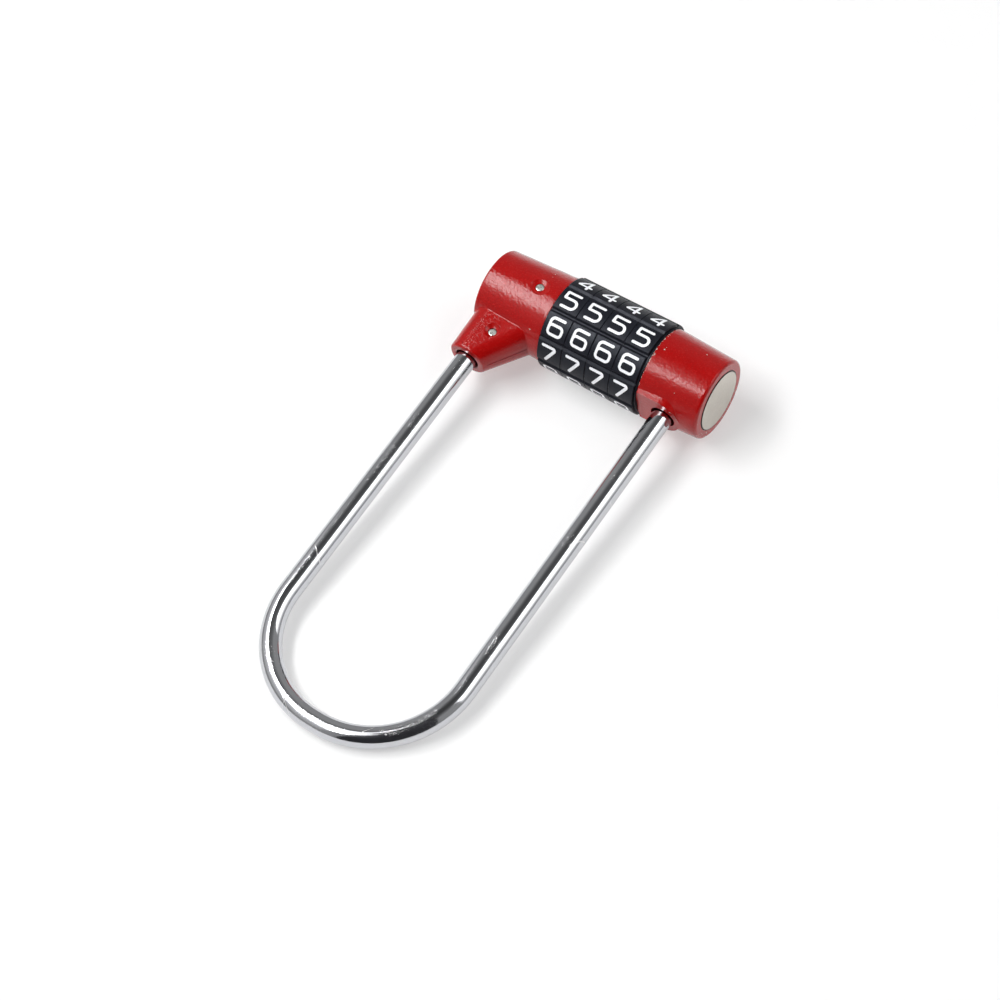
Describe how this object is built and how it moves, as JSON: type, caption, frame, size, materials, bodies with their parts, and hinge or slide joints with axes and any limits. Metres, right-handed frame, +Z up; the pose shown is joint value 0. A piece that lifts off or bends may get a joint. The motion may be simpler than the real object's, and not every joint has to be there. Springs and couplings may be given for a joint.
{
  "type": "combination padlock",
  "caption": "Combination padlock: red tapered barrel with black number dials across a long chromed wire shackle that pulls out along its legs.",
  "frame": {"origin": "bottom centre of the whole lock as it lies on a surface, face down on its dials and the bow of its shackle", "axes": "+X along the barrel from the heel leg to the capped end; -Y along the shackle towards its bow; +Z up, away from the side where the code is read"},
  "size_m": [0.0592, 0.1216, 0.022],
  "materials": {
    "red_paint": "gloss baked paint on die-cast zinc",
    "black_plastic": "semi-gloss moulded plastic",
    "white_paint": "paint filled into sunk digits",
    "chrome": "polished chrome plating",
    "satin_steel": "satin",
    "bright_steel": "bright cut ends",
    "spring_steel": "drawn wire and strip",
    "zinc": "raw die-cast zinc",
    "brass": "machined",
    "washer_plastic": "matte moulded"
  },
  "bodies": {
    "lock_body": {"left_housing": "red_paint", "right_housing": "red_paint", "core_tube": "zinc", "end_cap": "satin_steel", "barrel_pin": "bright_steel", "stop_pin": "bright_steel", "detent_spring": "spring_steel", "dial_washer": "washer_plastic", "bolt_spring": "spring_steel"},
    "shackle": {"shackle": "chrome"},
    "bolt": {"locking_bolt": "zinc"},
    "dial_1": {"dial_1": "black_plastic", "numerals_1": "white_paint", "code_sleeve_1": "brass"},
    "dial_2": {"dial_2": "black_plastic", "numerals_2": "white_paint", "code_sleeve_2": "brass"},
    "dial_3": {"dial_3": "black_plastic", "numerals_3": "white_paint", "code_sleeve_3": "brass"},
    "dial_4": {"dial_4": "black_plastic", "numerals_4": "white_paint", "code_sleeve_4": "brass"}
  },
  "joints": [
    {"name": "shackle_pull", "type": "slide", "parent": "lock_body", "child": "shackle", "axis": [0, -0.9969, -0.0783], "range_m": [0, 0.0145]},
    {"name": "bolt_slide", "type": "slide", "parent": "lock_body", "child": "bolt", "axis": [-1, 0, 0], "range_m": [0, 0.0035], "stiffness_N_per_m": 250, "springref_m": -0.004, "deforming": ["bolt_spring"]},
    {"name": "dial_1_turn", "type": "hinge", "parent": "lock_body", "child": "dial_1", "pos_m": [-0.00817, 0.04983, 0.011], "axis": [1, 0, 0], "continuous": true, "deforming": ["detent_spring"]},
    {"name": "dial_2_turn", "type": "hinge", "parent": "lock_body", "child": "dial_2", "pos_m": [-0.00187, 0.04983, 0.011], "axis": [1, 0, 0], "continuous": true, "deforming": ["detent_spring"]},
    {"name": "dial_3_turn", "type": "hinge", "parent": "lock_body", "child": "dial_3", "pos_m": [0.00443, 0.04983, 0.011], "axis": [1, 0, 0], "continuous": true, "deforming": ["detent_spring"]},
    {"name": "dial_4_turn", "type": "hinge", "parent": "lock_body", "child": "dial_4", "pos_m": [0.01073, 0.04983, 0.011], "axis": [1, 0, 0], "continuous": true, "deforming": ["detent_spring"]}
  ],
  "couplings": [
    {"joint": "bolt_slide", "follows": "shackle_pull", "ratio": 0.24138}
  ]
}
